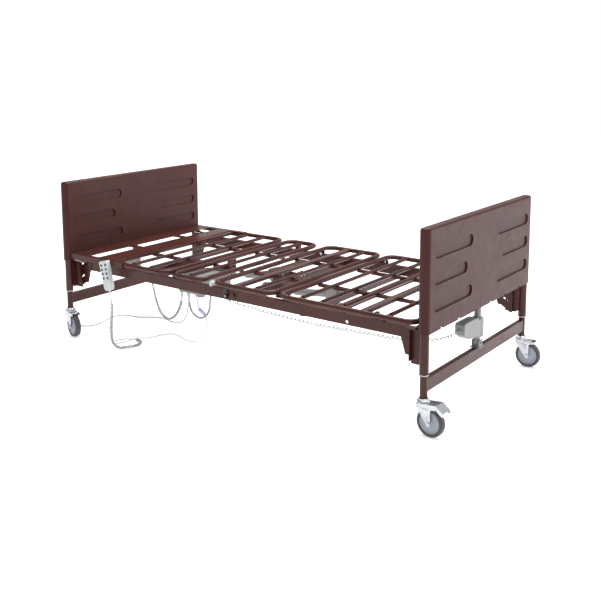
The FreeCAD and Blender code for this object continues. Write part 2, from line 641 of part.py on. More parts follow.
# ---------------------------------------------------------------- the nodes
def frame_nodes():
    halves = both_sides(rail(-RAIL_END, RAIL_SPLIT)) + both_sides(rail(RAIL_SPLIT + 1, RAIL_END))
    save("side_rails", halves + both_sides(splice()))
    tubes = [cross_tube(-1050, -1025, 390, 415), cross_tube(75, 100, 391, 413), cross_tube(440, 465, 373, 398),
             cross_tube(1020, 1045, 390, 415), cross_tube(-705, -680, 388, 413)]
    yokes = yoke(*BACK_REAR, BACK_ACT_Y, 75) + yoke(*KNEE_REAR, KNEE_ACT_Y, 440)
    save("frame_cross_tubes", tubes + yokes)
    save("corner_brackets", four_corners(corner_plate()) + four_corners(leg_channel()))
    save("bracket_hooks", four_corners(hook_strip()))
    save("leg_sleeves", posts(sleeve))
    panel = foot_panel()
    save("foot_panel", [panel])
    save("head_panel", [mirror_x(panel)])
    save("hinge_brackets", both_sides(pivot_bracket(BACK_PIVOT_X)) + both_sides(pivot_bracket(THIGH_PIVOT_X)))
    pins = both_sides(hinge_pin(BACK_PIVOT_X)) + both_sides(hinge_pin(THIGH_PIVOT_X))
    pins.append(rod(BACK_REAR[0], BACK_ACT_Y - 20, BACK_REAR[1], "y", PIN_R, 40))
    pins.append(rod(KNEE_REAR[0], KNEE_ACT_Y - 20, KNEE_REAR[1], "y", PIN_R, 40))
    pins += both_sides(rail_bolt(725, 404, 8))
    for piece in latch_fixings():
        pins += both_sides(piece)
    pins.append(strut((14, -462, 386), (20, -455, 362), 2))
    save("pins_and_bolts", pins)
    save("rail_latch_right", [latch()])
    save("rail_latch_left", [mirror_y(latch())])
    bumper = rod(370, -457.5, RAIL_Z[1], "z", 9, LOOP_Z - LOOP_R - RAIL_Z[1])
    glide = rod(905, -457.5, RAIL_Z[1], "z", 9, 18)
    save("rubber_bumpers", both_sides(bumper) + both_sides(glide))
    spacer = rod(-98, -457.5, RAIL_Z[1], "z", 13, LOOP_Z - LOOP_R - RAIL_Z[1] - 0.5)
    save("nylon_bushes", posts(sleeve_bush) + both_sides(spacer))
    save("hilo_rods", [hilo_rod(POST_X), hilo_rod(-POST_X)])
    save("control_box", control_box())
    save("power_box", [box(-680, -570, -130, 0, 352, 413)])


def latch():
    """Black clip that locks the two halves of the near rail together."""
    clip = fuse([box(LATCH_X - 10, LATCH_X + 10, -474.3, -470.3, 404, 440), rod(LATCH_X, -474.3, 404, "y", 13, 4)])
    return clip.cut(rod(LATCH_X, -475, 404, "y", 5.06, 6))


def latch_fixings():
    bolt = fuse([rod(LATCH_X, -475, 404, "y", 5, 5), rod(LATCH_X, -480, 404, "y", 8, 5)])
    boss = rod(LATCH_X + 44, -476, 411, "y", 14, 6)
    return [bolt, boss]


def deck_nodes():
    tray = back_plate()
    back_loop = loop_path(BACK_PLATE[1], BACK_END, LOOP_R, True)
    save("back_plate", [tray])
    save("back_loop", [loop_tube(BACK_PLATE[1], BACK_END, True)])
    deck = [slat(x, back_loop) for x in (-655, -525)]
    deck.append(flat_bar(-783, tray, 487))
    rest = [lever(-430, STIFF_Z[0] + 4, BACK_TIP, BACK_ACT_Y, -425)]
    for s in (-1, 1):
        rest.append(stiffener(-801, BACK_END, s * STIFF_Y, back_loop))
        y0 = -437 if s < 0 else 432
        rest.append(lug(BACK_END, BACK_PIVOT_X, y0, back_loop, PIN_R + PIN_FIT))
    save("back_slats", deck + rest)
    for name, ends, slats, bars in (("seat", SEAT, (-238,), ()), ("thigh", THIGH, (197,), (92,)),
                                    ("calf", CALF, (470, 585, 705, 940), (820,))):
        outer = loop_path(ends[0], ends[1], LOOP_R, False)
        save(name + "_loop", [loop_tube(*ends)])
        deck = [slat(x, outer) for x in slats] + [flat_bar(x, outer) for x in bars]
        for s in (-1, 1):
            deck.append(stiffener(ends[0], ends[1], s * STIFF_Y, outer))
        if name == "seat":
            for s in (-1, 1):
                foot = box(-250, -226, s * 440, s * 468, RAIL_Z[1], SLAT_Z - 3)
                deck.append(foot.cut(slat(-238, outer)))
        if name == "thigh":
            deck.append(lever(KNEE_TIP[0] + 15, STIFF_Z[0] + 4, KNEE_TIP, KNEE_ACT_Y, KNEE_TIP[0] + 12))
            for s in (-1, 1):
                y0 = -437 if s < 0 else 432
                deck.append(lug(THIGH[0], THIGH_PIVOT_X, y0, outer, PIN_R + PIN_FIT))
                deck.append(lug(THIGH[1], CALF_PIVOT_X, y0, outer, PIN_R))
            deck += both_sides(fuse([rod(CALF_PIVOT_X, -437, PIVOT_Z, "y", PIN_R, 14),
                                     rod(CALF_PIVOT_X, -423.5, PIVOT_Z, "y", 8, 4)]))
        if name == "calf":
            deck.append(box(622, 690, -440, 440, 440, 444.9))
            for s in (-1, 1):
                y0 = -431 if s < 0 else 426
                deck.append(lug(CALF[0], CALF_PIVOT_X, y0, outer, PIN_R + PIN_FIT))
        save(name + "_slats", deck)


def actuator_nodes():
    save("back_motor", [deck_motor(BACK_REAR, BACK_TIP, BACK_ACT_Y, 280)])
    save("back_rod", [deck_rod(BACK_REAR, BACK_TIP, BACK_ACT_Y, 150)])
    save("knee_motor", [deck_motor(KNEE_REAR, KNEE_TIP, KNEE_ACT_Y, 300)])
    save("knee_rod", [deck_rod(KNEE_REAR, KNEE_TIP, KNEE_ACT_Y, 190)])


def end_nodes():
    for name, x in (("foot", POST_X), ("head", -POST_X)):
        legs, bar = leg_set(x)
        save(name + "_legs", legs + [bar])
        save(name + "_hilo_motor", list(hilo_motor(x)))
        for side_name, y in (("right", -POST_Y), ("left", POST_Y)):
            corner = name + "_" + side_name
            save(corner + "_fork", [swivelled(caster_fork(x, y), x, y, corner)])
            save(corner + "_wheel", [swivelled(s, x, y, corner) for s in caster_wheel(x, y)])
    save("brake_pedal", [swivelled(brake_pedal(POST_X, -POST_Y), POST_X, -POST_Y, "foot_right")])


def handset_nodes():
    save("pendant", pendant())
    for row in range(4):
        for side, label in ((-1, "up"), (1, "down")):
            save("button_%s_%d" % (label, row + 1), [pendant_button(row, side)])


def cord_nodes():
    save("pendant_curl", [bent_tube(PENDANT_CURL, CURL_D, "pendant_curl")])
    save("pendant_lead", [bent_tube(PENDANT_LEAD, THIN_D, "pendant_lead"),
                          bent_tube(UPPER_LEAD, THIN_D, "upper_lead")])
    save("lead_connector", [connector()])
    save("mains_cord", [bent_tube(MAINS_CORD, CORD_D, "mains_cord")])
    save("mains_coil", [coil()])
    save("mains_plug", [mains_plug()])
    save("cord_loop_small", [bent_tube(LOOP_SMALL, 12.0, "cord_loop_small")])
    save("cord_loop_large", [bent_tube(LOOP_LARGE, 10.0, "cord_loop_large")])
    save("foot_motor_cord", [bent_tube(FOOT_CORD, 14.0, "foot_motor_cord")])


frame_nodes()
deck_nodes()
actuator_nodes()
end_nodes()
handset_nodes()
cord_nodes()
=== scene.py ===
import json
import math

import bmesh
import bpy
from mathutils import Matrix, Vector


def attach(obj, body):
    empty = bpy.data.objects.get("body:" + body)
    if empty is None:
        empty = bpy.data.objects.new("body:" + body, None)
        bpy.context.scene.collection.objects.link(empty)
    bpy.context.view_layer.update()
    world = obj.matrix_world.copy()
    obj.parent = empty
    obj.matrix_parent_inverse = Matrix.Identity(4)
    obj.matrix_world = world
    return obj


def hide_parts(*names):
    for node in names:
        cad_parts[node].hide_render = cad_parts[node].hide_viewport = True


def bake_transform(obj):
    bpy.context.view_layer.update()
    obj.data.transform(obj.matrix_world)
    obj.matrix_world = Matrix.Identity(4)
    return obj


# Adjustable homecare bed. The CAD nodes keep their shapes and get procedural materials. The
# casters and cords are replaced by finer pieces, and small fittings are added.
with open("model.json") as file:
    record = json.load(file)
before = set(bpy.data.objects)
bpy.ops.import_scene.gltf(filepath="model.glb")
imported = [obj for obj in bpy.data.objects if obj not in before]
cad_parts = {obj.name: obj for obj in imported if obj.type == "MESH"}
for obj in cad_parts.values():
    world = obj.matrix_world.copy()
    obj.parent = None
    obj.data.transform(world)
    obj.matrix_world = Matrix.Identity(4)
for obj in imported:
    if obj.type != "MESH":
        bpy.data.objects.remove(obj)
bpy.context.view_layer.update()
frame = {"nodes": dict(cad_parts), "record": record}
NODES = frame["nodes"]

# The middle of the bed in the row frame, in metres. Points given in millimetres below are
# measured from there: x towards the foot, y to the far side, z up from the floor.
SHIFT = Vector((-0.0444, 0.0, 0.0))
POST_X, POST_Y = 1.135, 0.515
# Each caster's heading at rest, in degrees about its leg.
CORNERS = {"foot_right": -3.8, "foot_left": 3.8, "head_right": -15.0, "head_left": 15.0}


def mm(x, y, z):
    return Vector((x, y, z)) / 1000 + SHIFT


# ---------------------------------------------------------------- camera
CAMERA_PLACE = (2809.0, -3624.6, 1573.2)
CAMERA_RIGHT = (0.80311, 0.59582, -0.00339)
CAMERA_UP = (-0.08405, 0.11891, 0.98934)
CAMERA_BACK = (0.58987, -0.79427, 0.14558)
CAMERA_LENS, CAMERA_SENSOR, CAMERA_SHIFT_Y = 52.58, 36.0, -0.1922


def link(name, data):
    """A new object in the scene."""
    obj = bpy.data.objects.new(name, data)
    bpy.context.scene.collection.objects.link(obj)
    return obj


def make_camera():
    data = bpy.data.cameras.new("camera")
    data.sensor_width = CAMERA_SENSOR
    data.lens = CAMERA_LENS
    data.shift_y = CAMERA_SHIFT_Y
    data.clip_end = 60
    obj = link("camera", data)
    turn = Matrix((CAMERA_RIGHT, CAMERA_UP, CAMERA_BACK)).transposed().to_4x4()
    obj.matrix_world = Matrix.Translation(mm(*CAMERA_PLACE)) @ turn
    bpy.context.scene.camera = obj


make_camera()


# ---------------------------------------------------------------- materials
class Nodes:
    """A small helper that builds one material's node tree."""

    def __init__(self, name):
        self.mat = bpy.data.materials.new(name)
        self.mat.use_nodes = True
        self.tree = self.mat.node_tree
        self.shader = self.tree.nodes["Principled BSDF"]
        self.coord = self.add("ShaderNodeTexCoord").outputs["Object"]

    def add(self, kind, **inputs):
        node = self.tree.nodes.new(kind)
        for key, value in inputs.items():
            self.feed(node.inputs[key.replace("_", " ")], value)
        return node

    def feed(self, socket, value):
        if isinstance(value, bpy.types.NodeSocket):
            self.tree.links.new(value, socket)
        else:
            socket.default_value = value

    def noise(self, scale, detail=4.0, rough=0.55, stretch=None):
        vector = self.coord
        if stretch:
            vector = self.add("ShaderNodeMapping", Vector=self.coord, Scale=stretch).outputs[0]
        return self.add("ShaderNodeTexNoise", Vector=vector, Scale=scale, Detail=detail,
                        Roughness=rough).outputs["Fac"]

    def ramp(self, fac, low, high, a=0.0, b=1.0):
        node = self.add("ShaderNodeMapRange", Value=fac)
        for key, value in (("From Min", low), ("From Max", high), ("To Min", a), ("To Max", b)):
            node.inputs[key].default_value = value
        return node.outputs[0]

    def mix(self, fac, a, b):
        node = self.tree.nodes.new("ShaderNodeMix")
        node.data_type = "RGBA"
        self.feed(node.inputs[0], fac)
        for socket, value in ((node.inputs[6], a), (node.inputs[7], b)):
            self.feed(socket, (*value, 1.0) if isinstance(value, tuple) and len(value) == 3 else value)
        return node.outputs[2]

    def math(self, operation, a, b=0.0):
        node = self.tree.nodes.new("ShaderNodeMath")
        node.operation = operation
        self.feed(node.inputs[0], a)
        self.feed(node.inputs[1], b)
        return node.outputs[0]

    def edges(self, radius):
        """0 on flat faces, towards 1 along convex and concave edges."""
        bevel = self.add("ShaderNodeBevel", Radius=radius)
        bevel.samples = 3
        flat = self.add("ShaderNodeNewGeometry").outputs["Normal"]
        dot = self.tree.nodes.new("ShaderNodeVectorMath")
        dot.operation = "DOT_PRODUCT"
        self.tree.links.new(bevel.outputs[0], dot.inputs[0])
        self.tree.links.new(flat, dot.inputs[1])
        return self.ramp(dot.outputs["Value"], 0.995, 0.86)

    def bump(self, height, distance, strength=1.0, edge=0.0):
        node = self.add("ShaderNodeBump", Height=height, Distance=distance, Strength=strength)
        if edge:
            bevel = self.add("ShaderNodeBevel", Radius=edge)
            bevel.samples = 4
            self.tree.links.new(bevel.outputs[0], node.inputs["Normal"])
        self.tree.links.new(node.outputs[0], self.shader.inputs["Normal"])

    def set(self, **inputs):
        for key, value in inputs.items():
            self.feed(self.shader.inputs[key.replace("_", " ")], value)
        return self.mat


def painted(name, deep, light, rough, grain, edge, gloss):
    """Powder coat or moulded plastic: mottled colour, fine texture and a painted highlight in patches along the
    edges.
    """
    n = Nodes(name)
    cloud = n.ramp(n.noise(5.0), 0.3, 0.7)
    fine = n.noise(grain, 3.0)
    base = n.mix(cloud, deep, light)
    # Painted highlight: patches along convex and concave edges are mixed towards pale, a much lighter tone.
    painted_edge_highlight = n.math("MULTIPLY", n.edges(edge), n.ramp(n.noise(60.0), 0.35, 0.75))
    pale = tuple(min(1.0, c * 2.4 + 0.004) for c in light)
    colour = n.mix(n.math("MULTIPLY", painted_edge_highlight, 0.45), base, pale)
    # pale also gives faint specks of dust.
    colour = n.mix(n.ramp(n.noise(400.0, 2.0), 0.60, 0.75, 0.0, 0.10), colour, pale)
    n.bump(fine, 0.0006, 0.30, edge)
    roughness = n.math("ADD", n.ramp(n.noise(18.0), 0.3, 0.7, rough - 0.05, rough + 0.07),
                       n.ramp(fine, 0.3, 0.7, 0.0, 0.04))
    return n.set(Base_Color=colour, Roughness=roughness, Specular_IOR_Level=gloss)


def metal(name, colour, rough, stretch=(1.0, 1.0, 1.0), dirt=0.25):
    """Plated steel: brushed streaks, small spots of tarnish and a painted highlight along the edges."""
    n = Nodes(name)
    streak = n.noise(90.0, 5.0, 0.6, stretch)
    spots = n.ramp(n.noise(45.0), 0.52, 0.72)
    dull = tuple(c * (1 - dirt) for c in colour)
    base = n.mix(spots, colour, dull)
    # Painted highlight: the colour is made lighter along the edges.
    base = n.mix(n.math("MULTIPLY", n.edges(0.0008), 0.5), base, tuple(min(1.0, c * 1.25) for c in colour))
    n.bump(streak, 0.0003, 0.25, 0.0006)
    roughness = n.ramp(streak, 0.3, 0.7, rough, rough + 0.12)
    return n.set(Base_Color=base, Roughness=roughness, Metallic=1.0)


def plastic(name, colour, rough, grain=900.0, vary=0.08, depth=0.0003):
    """Moulded plastic or rubber: fine eroded grain, faint mottling, softened edges and a painted highlight in
    patches along them.
    """
    n = Nodes(name)
    dark = tuple(c * (1 - vary) for c in colour)
    light = tuple(min(1.0, c * (1 + vary)) for c in colour)
    base = n.mix(n.ramp(n.noise(14.0), 0.3, 0.7), dark, light)
    # Painted highlight: patches along the edges are mixed towards a lighter tone.
    edge_highlight_patches = n.math("MULTIPLY", n.edges(0.001), n.ramp(n.noise(80.0), 0.4, 0.7, 0.0, 0.35))
    base = n.mix(edge_highlight_patches, base, tuple(min(1.0, c * 1.35 + 0.02) for c in colour))
    n.bump(n.noise(grain, 2.0), depth, 0.35, 0.001)
    roughness = n.ramp(n.noise(30.0), 0.3, 0.7, rough - 0.05, rough + 0.06)
    return n.set(Base_Color=base, Roughness=roughness)


def clear_plastic(name):
    """Slightly blue clear plastic with faint ripples."""
    n = Nodes(name)
    tint = n.mix(n.ramp(n.noise(30.0), 0.3, 0.7), (0.42, 0.55, 0.80), (0.66, 0.76, 0.92))
    n.bump(n.noise(200.0), 0.0003, 0.3, 0.0008)
    return n.set(Base_Color=tint, Roughness=n.ramp(n.noise(25.0), 0.3, 0.7, 0.12, 0.25),
                 Transmission_Weight=0.45, IOR=1.46)


BROWN = painted("brown_paint", (0.047, 0.0125, 0.0095), (0.065, 0.0190, 0.0146), 0.25, 1400.0, 0.0015, 0.25)
PANEL = painted("brown_plastic", (0.046, 0.0115, 0.0087), (0.057, 0.0150, 0.0115), 0.36, 900.0, 0.002, 0.18)
ZINC = metal("zinc_steel", (0.54, 0.555, 0.58), 0.26)
CHROME = metal("chrome", (0.66, 0.66, 0.68), 0.12, (1.0, 1.0, 12.0), 0.12)
NYLON = plastic("white_nylon", (0.52, 0.51, 0.49), 0.45)
RUBBER = plastic("black_rubber", (0.020, 0.020, 0.021), 0.62, 500.0, 0.15)
BLACK = plastic("black_plastic", (0.016, 0.016, 0.018), 0.38)
KEYS = plastic("dark_rubber", (0.035, 0.048, 0.085), 0.55)
GREY = plastic("grey_plastic", (0.225, 0.222, 0.225), 0.42)
PALE = plastic("pale_plastic", (0.52, 0.545, 0.55), 0.40)
CLEAR = clear_plastic("clear_plastic")
TYRE = plastic("grey_tyre", (0.062, 0.056, 0.056), 0.55, 350.0, 0.12, 0.0005)
HUB = plastic("hub_plastic", (0.30, 0.325, 0.385), 0.45)
CORD = plastic("pale_cord", (0.54, 0.53, 0.52), 0.50, 600.0, 0.06)
COILED = plastic("grey_cord", (0.37, 0.355, 0.35), 0.50, 600.0, 0.08)

SLOT_MATERIAL = {
    "brown_paint": BROWN, "brown_plastic": PANEL, "zinc_steel": ZINC, "chrome": CHROME,
    "white_nylon": NYLON, "black_rubber": RUBBER, "black_plastic": BLACK, "dark_rubber": KEYS,
    "grey_plastic": GREY, "pale_plastic": PALE, "clear_plastic": CLEAR, "grey_tyre": TYRE,
    "pale_cord": CORD, "grey_cord": COILED,
}


def finish_cad_nodes():
    """Gives each CAD node its slot's material. The bracket hooks are painted with the brackets."""
    slots = {s["node"]: s["material_slot"] for s in frame["record"]["subparts"]}
    for name, obj in NODES.items():
        material = SLOT_MATERIAL[slots[name]]
        if name == "bracket_hooks":
            material = BROWN
        if not obj.material_slots:
            obj.data.materials.append(material)
        for slot in obj.material_slots:
            slot.material = material


finish_cad_nodes()


# ---------------------------------------------------------------- building pieces
def piece(name, mesh, material, body, smooth=40.0):
    """A new object from a bmesh, with its material and body. smooth is the angle in
    degrees above which an edge looks sharp. A piece with no body is left unattached."""
    data = bpy.data.meshes.new(name)
    mesh.to_mesh(data)
    mesh.free()
    data.materials.append(material)
    for face in data.polygons:
        face.use_smooth = True
    obj = link(name, data)
    if smooth < 180:
        edges = obj.modifiers.new("edges", "EDGE_SPLIT")
        edges.split_angle = math.radians(smooth)
    if body:
        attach(obj, body)
    return obj


def lathe(mesh, profile, base, axis, steps):
    """Revolves (radius, distance along the axis) points about an axis that starts at base."""
    axis = Vector(axis).normalized()
    side = axis.orthogonal().normalized()
    other = axis.cross(side)
    rings = []
    for radius, along in profile:
        middle = base + axis * along
        if radius < 1e-6:
            rings.append([mesh.verts.new(middle)])
            continue
        ring = []
        for i in range(steps):
            a = 2 * math.pi * i / steps
            ring.append(mesh.verts.new(middle + (side * math.cos(a) + other * math.sin(a)) * radius))
        rings.append(ring)
    for a, b in zip(rings, rings[1:]):
        for i in range(steps):
            j = (i + 1) % steps
            quad = [a[i % len(a)], a[j % len(a)], b[j % len(b)], b[i % len(b)]]
            corners = list(dict.fromkeys(quad))
            if len(corners) > 2:
                mesh.faces.new(corners)
    return mesh


def lathe_mm(mesh, profile, base, axis, steps):
    """As lathe, for a profile in millimetres on a base in metres."""
    return lathe(mesh, [(radius / 1000, along / 1000) for radius, along in profile], base, axis, steps)


def prism(mesh, outline, axis, bevel, segments=2):
    """Extrudes a closed outline of points along a vector, then rounds its edges."""
    axis = Vector(axis)
    low = [mesh.verts.new(p) for p in outline]
    high = [mesh.verts.new(p + axis) for p in outline]
    faces = [mesh.faces.new(low), mesh.faces.new(high)]
    for i in range(len(low)):
        j = (i + 1) % len(low)
        faces.append(mesh.faces.new([low[i], low[j], high[j], high[i]]))
    bmesh.ops.recalc_face_normals(mesh, faces=faces)
    edges = list({e for f in faces for e in f.edges})
    bmesh.ops.bevel(mesh, geom=edges, offset=bevel, segments=segments, profile=0.6,
                    affect="EDGES", clamp_overlap=True)
    return mesh


def block(mesh, low, high, bevel):
    """Rounded box between two corners."""
    outline = [Vector((low[0], low[1], low[2])), Vector((high[0], low[1], low[2])),
               Vector((high[0], high[1], low[2])), Vector((low[0], high[1], low[2]))]
    return prism(mesh, outline, (0, 0, high[2] - low[2]), bevel, 3)


# ---------------------------------------------------------------- cords
# Control points of each cord's smooth line, the same as the CAD solid's route.
PENDANT_CURL = ((-774.7, -533, 320.7), (-765.6, -533, 283.8), (-764, -533, 238), (-766, -533, 190),
                (-771, -534, 142), (-774, -535, 94), (-769, -537, 52), (-746, -540, 18), (-706, -530, 9),
                (-684, -490, 9), (-668, -446, 9), (-682, -402, 9), (-722, -377, 9), (-768, -385, 9))
PENDANT_LEAD = ((-768, -385, 9), (-812, -398, 5), (-838, -434, 4), (-828, -478, 4), (-788, -492, 6),
                (-750, -470, 16), (-726, -430, 26), (-716, -384, 26), (-716, -328, 8), (-714, -270, 4),
                (-700, -215, 4), (-664, -172, 4), (-606, -180, 4), (-550, -206, 4), (-498, -216, 4),
                (-444, -226, 12), (-388, -262, 44), (-330, -300, 76), (-278, -328, 110), (-238, -352, 144),
                (-222, -362, 182), (-238, -352, 212), (-257, -340, 228))
UPPER_LEAD = ((-298, -340, 252), (-306, -342, 276), (-311, -343, 300), (-314, -342, 324), (-316, -340, 345))
MAINS_CORD = ((-680, -40, 370), (-718, -36, 368), (-752, -14, 356), (-778, 24, 334), (-792, 66, 298),
              (-797, 94, 250), (-798, 104, 196), (-794, 102, 140), (-797, 92, 84), (-787, 68, 34),
              (-774, 28, 6), (-798, -10, 4), (-850, -14, 4), (-906, 8, 4), (-962, 6, 4), (-1014, -35, 4),
              (-1070, -68, 4), (-1130, -76, 4), (-1182, -96, 4), (-1204, -145, 4), (-1188, -200, 4),
              (-1164, -256, 4), (-1152, -314, 4), (-1164, -352, 4), (-1190, -376, 4))
LOOP_SMALL = ((-380, -385, 345), (-381, -385, 312), (-387, -385, 278), (-406, -385, 236), (-438, -385, 196),
              (-483, -385, 172), (-530, -384, 188), (-560, -382, 228), (-584, -378, 274), (-602, -373, 320),
              (-624, -364, 360), (-668, -352, 379), (-725, -340, 380), (-785, -330, 377), (-845, -322, 375),
              (-910, -320, 373), (-980, -322, 371), (-1040, -328, 369), (-1084, -331, 367), (-1122, -318, 365),
              (-1135, -280, 364), (-1137, -236, 365), (-1135, -190.4, 364))
LOOP_LARGE = ((-330, -385, 345), (-329, -385, 312), (-324, -385, 276), (-306, -385, 240), (-258, -385, 219),
              (-212, -385, 236), (-184, -385, 276), (-181, -384, 326), (-181, -370, 368), (-172, -325, 388),
              (-160, -270, 382), (-149, -210, 366), (-138, -148, 350), (-128, -82, 328), (-120, -20, 312),
              (-119, 39.4, 311))
FOOT_CORD = ((-225, -325, 412), (-186, -325, 411), (-134, -350, 405), (-84, -398, 394), (-32, -434, 376),
             (40, -440, 368), (150, -440, 360), (290, -440, 352), (440, -440, 347), (600, -440, 349),
             (770, -440, 356), (900, -440, 360), (1000, -439, 366), (1064, -424, 371), (1112, -378, 368),
             (1134, -312, 364), (1137, -252, 364.5), (1135, -190.4, 364))
COIL_AT = (-1229.0, -421.0)
LEAD_RADIUS, MAINS_RADIUS = 0.0025, 0.003

# The handset's curly cord, in metres: the coils' radius, the wire's radius, one turn's length
# and the straight lengths at its two ends.
HANDSET_CURL = (0.0058, 0.0024, 0.0072, 0.070, 0.020)
# The curly motor cords: node, route, coils' radius, wire's radius, one turn's length, the body
# at the far end, and the points where the cord starts and ends its turn to that body.
MOTOR_CURLS = {
    "head_motor_curl": ("cord_loop_small", LOOP_SMALL, 0.0042, 0.0022, 0.0062, "head_leg_set",
                        (-960, -321, 366), (-1128, -300, 366)),
    "back_motor_curl": ("cord_loop_large", LOOP_LARGE, 0.0034, 0.0021, 0.0058, "back_actuator",
                        (-168, -310, 380), (-120, -20, 315)),
    "foot_motor_curl": ("foot_motor_cord", FOOT_CORD, 0.0058, 0.0024, 0.0240, "foot_leg_set",
                        (960, -440, 366), (1128, -330, 366)),
}
MOTOR_CURL_STRAIGHT = 0.045


def spline_curve(name, points, depth=0.0):
    """One open smooth curve with the route's points as its control points."""
    data = bpy.data.curves.new(name, "CURVE")
    data.dimensions = "3D"
    data.resolution_u = 12
    data.bevel_depth = depth
    data.bevel_resolution = 4
    data.use_fill_caps = True
    spline = data.splines.new("NURBS")
    spline.points.add(len(points) - 1)
    for target, point in zip(spline.points, points):
        target.co = (*point, 1.0)
    spline.order_u = 3
    spline.use_endpoint_u = True
    return link(name, data)


def line_of(points):
    """Points read along the smooth curve through a route, and the distance to each."""
    bare = spline_curve("route", [mm(*p) for p in points])
    mesh = bpy.data.meshes.new_from_object(bare)
    line = [v.co.copy() for v in mesh.vertices]
    bpy.data.meshes.remove(mesh)
    bpy.data.curves.remove(bare.data)
    along = [0.0]
    for a, b in zip(line, line[1:]):
        along.append(along[-1] + (b - a).length)
    return line, along


def at(line, along, s):
    """The point and direction at a distance along a line."""
    s = min(max(s, 0.0), along[-1])
    i = 1
    while i < len(along) - 1 and along[i] < s:
        i += 1
    span = along[i] - along[i - 1]
    t = (s - along[i - 1]) / span if span else 0.0
    return line[i - 1].lerp(line[i], t), (line[i] - line[i - 1]).normalized()


def smooth_step(t):
    t = min(max(t, 0.0), 1.0)
    return t * t * (3 - 2 * t)


# The step along a curly cord's straight ends, in metres, and the turns that it takes to widen.
STRAIGHT_STEP = 0.006
HELIX_GROW_TURNS = 1.5


def helix_points(points, radius, pitch, lead_in, lead_out, per_turn):
    """Centreline of a curly cord: straight, then coiled about the route, then straight."""
    line, along = line_of(points)
    total = along[-1]
    out = []
    phase = 0.0
    side = None
    step = pitch / per_turn
    s = 0.0
    while s < total:
        middle, way = at(line, along, s)
        if side is None:
            side = way.orthogonal().normalized()
        side = (side - way * side.dot(way)).normalized()
        room = min(s - lead_in, total - lead_out - s)
        grow = smooth_step(room / (pitch * HELIX_GROW_TURNS))
        if grow <= 0.0:
            out.append(middle)
            s += STRAIGHT_STEP
            continue
        other = way.cross(side)
        wobble = 1 + 0.05 * math.sin(phase * 0.37)
        out.append(middle + (side * math.cos(phase) + other * math.sin(phase)) * radius * grow * wobble)
        phase += 2 * math.pi / per_turn
        s += step
    out.append(line[-1])
    return out


def tube_piece(name, points, radius, material, body, sides=8):
    """Mesh tube that follows a list of points, closed at both ends."""
    mesh = bmesh.new()
    side = None
    rings = []
    for i, p in enumerate(points):
        way = (points[min(i + 1, len(points) - 1)] - points[max(i - 1, 0)]).normalized()
        if side is None:
            side = way.orthogonal().normalized()
        side = (side - way * side.dot(way)).normalized()
        other = way.cross(side)
        ring = []
        for k in range(sides):
            a = 2 * math.pi * k / sides
            ring.append(mesh.verts.new(p + (side * math.cos(a) + other * math.sin(a)) * radius))
        rings.append(ring)
    for a, b in zip(rings, rings[1:]):
        for k in range(sides):
            j = (k + 1) % sides
            mesh.faces.new([a[k], a[j], b[j], b[k]])
    mesh.faces.new(rings[0][::-1])
    mesh.faces.new(rings[-1])
    return piece(name, mesh, material, body, 180)


def coil_points():
    """Six turns of the put-away mains cord, in two rings of three layers, then its plug."""
    x, y = COIL_AT
    out = []
    steps = 14
    plan = ((35.0, 3.2), (28.9, 3.4), (29.1, 9.4), (34.8, 9.3), (29.3, 15.4), (35.1, 15.3))
    for turn, (radius, height) in enumerate(plan):
        after = plan[min(turn + 1, len(plan) - 1)]
        for i in range(steps):
            t = smooth_step((i / steps - 0.6) / 0.4)
            r = radius + (after[0] - radius) * t
            z = height + (after[1] - height) * t
            a = math.pi / 2 + 2 * math.pi * i / steps
            out.append((x + r * math.cos(a), y + r * math.sin(a), z))
    return out + [(x - 3, y + 35.5, 15.2), (x - 14, y + 41, 14.4), (x - 22, y + 45, 13.4), (x - 30, y + 46, 13)]


def relief(name, base, way, wide, narrow, length, material, slot, body):
    """Tapered, ribbed strain relief where a cord leaves a housing."""
    mesh = bmesh.new()
    collar, rib_length, groove = 0.004, 0.006, 0.86
    profile = [(0.0, 0.0), (wide, 0.0), (wide, collar)]
    ribs = max(3, int(length / rib_length))
    for i in range(ribs):
        t = (i + 1) / ribs
        r = wide + (narrow - wide) * t
        for scale, before in ((1.0, 0.55), (groove, 0.35), (groove, 0.12), (1.0, 0.0)):
            profile.append((r * scale, collar + (length - collar) * (t - before / ribs)))
    profile.append((0.0, length))
    lathe(mesh, profile, base, way, 24)
    return piece(name, mesh, material, body)


def plain_cord(name, points, radius, replaced, **facts):
    """A free cord on the frame that is one smooth curve through its route."""
    cord = spline_curve(name, [mm(*p) for p in points], radius)
    cord.data.materials.append(CORD)
    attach(cord, "frame")
    if replaced:
        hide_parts(*replaced)
    line_of(points)[1][-1]


def make_cords():
    radius, wire, pitch, lead_in, lead_out = HANDSET_CURL
    curl = helix_points(PENDANT_CURL, radius, pitch, lead_in, lead_out, 10)
    obj = tube_piece("handset_curl", curl, wire, COILED, "frame")
    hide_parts("pendant_curl")

    plain_cord("handset_lead", PENDANT_LEAD, LEAD_RADIUS, ["pendant_lead"], exit=mm(*PENDANT_LEAD[0]),
               far_end="connector", stiffness="limp", lay="loose", with_pieces=[NODES["lead_connector"]])
    plain_cord("box_lead", UPPER_LEAD, LEAD_RADIUS, [], exit=mm(*UPPER_LEAD[-1]), far_end="object",
               stiffness="limp", lay="hanging")
    plain_cord("mains_lead", list(MAINS_CORD) + coil_points(), MAINS_RADIUS, ["mains_cord", "mains_coil"],
               exit=mm(*MAINS_CORD[0]), far_end="plug", stiffness="medium", lay="loose",
               with_pieces=[NODES["mains_plug"]])

    for name, (node, points, radius, wire, pitch, end_body, start, end) in MOTOR_CURLS.items():
        path = helix_points(points, radius, pitch, MOTOR_CURL_STRAIGHT, MOTOR_CURL_STRAIGHT, 12)
        obj = tube_piece(name, path, wire, COILED, None)
        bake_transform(obj)
        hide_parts(node)


